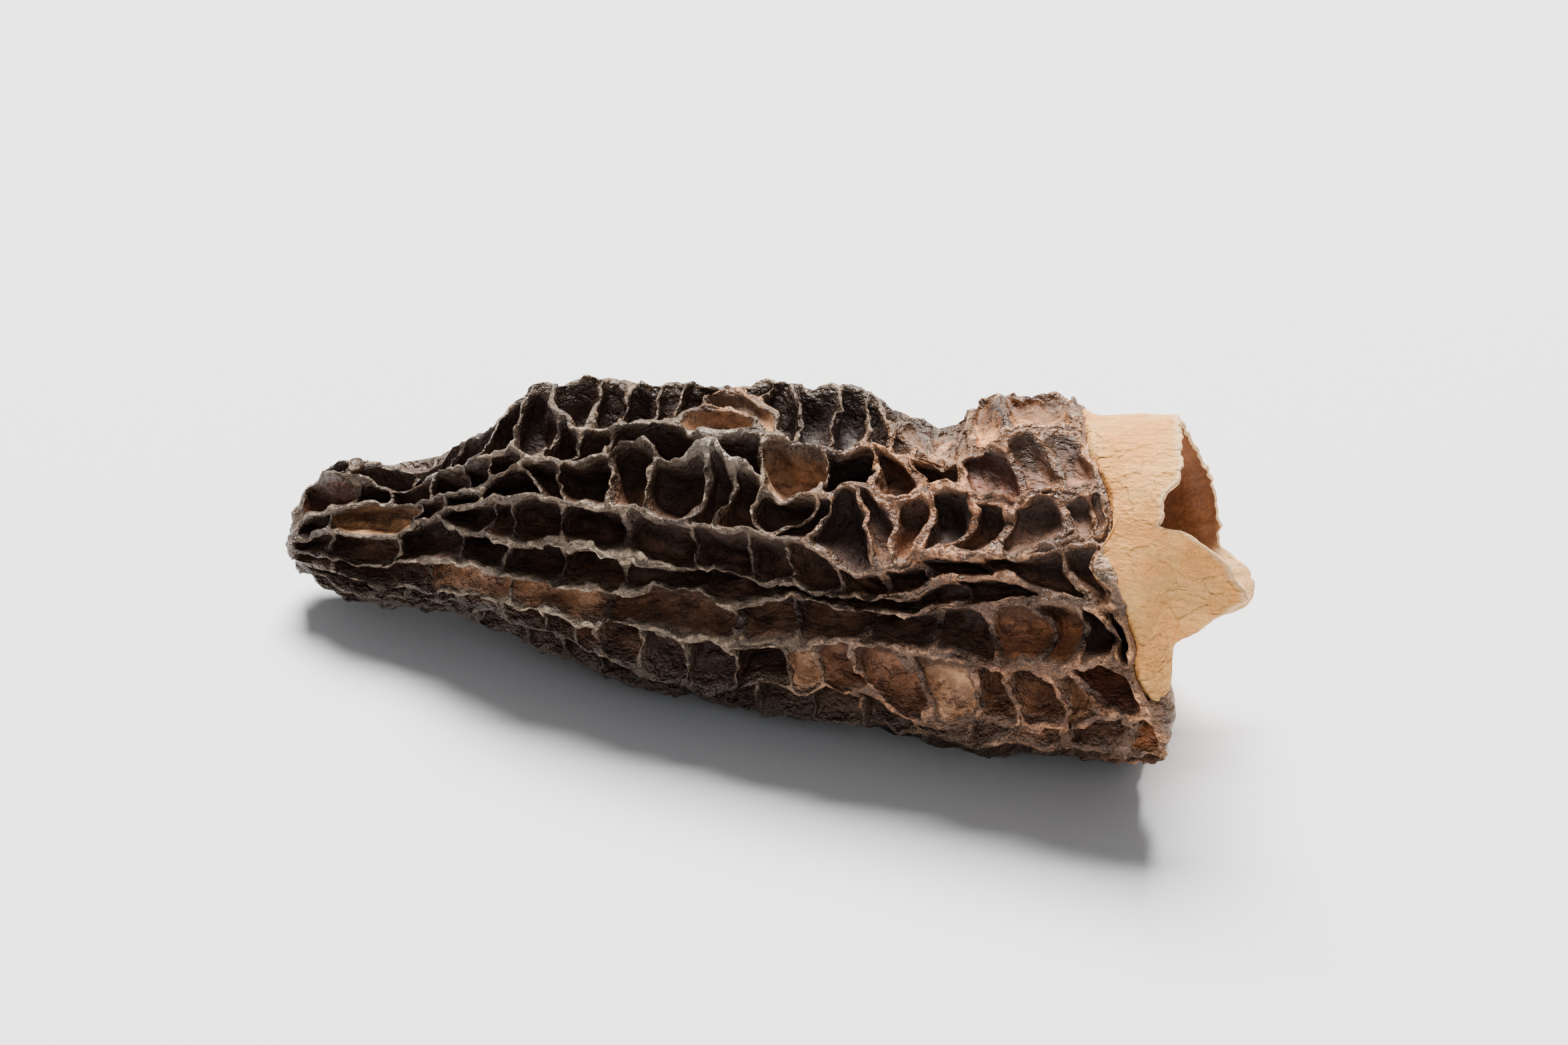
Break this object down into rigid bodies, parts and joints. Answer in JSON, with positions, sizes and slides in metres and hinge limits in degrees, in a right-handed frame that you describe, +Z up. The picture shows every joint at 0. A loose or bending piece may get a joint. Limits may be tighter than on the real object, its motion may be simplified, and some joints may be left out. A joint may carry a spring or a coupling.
{
  "type": "dried morel mushroom",
  "caption": "Whole dried black morel on its side: a hollow pointed cap of dark ridges and deep pits, wrinkled and bent in drying, on a short torn cream stem stub that opens into the hollow.",
  "frame": {"origin": "on the ground under the middle of the footprint", "axes": "+X along the mushroom from the cap's tip to the stem, +Z up with the mushroom lying on its side"},
  "size_m": [0.0518, 0.0178, 0.0183],
  "materials": {
    "dried_flesh": "matte dried flesh"
  },
  "bodies": {
    "root": {"dried_morel": "dried_flesh"}
  },
  "joints": []
}
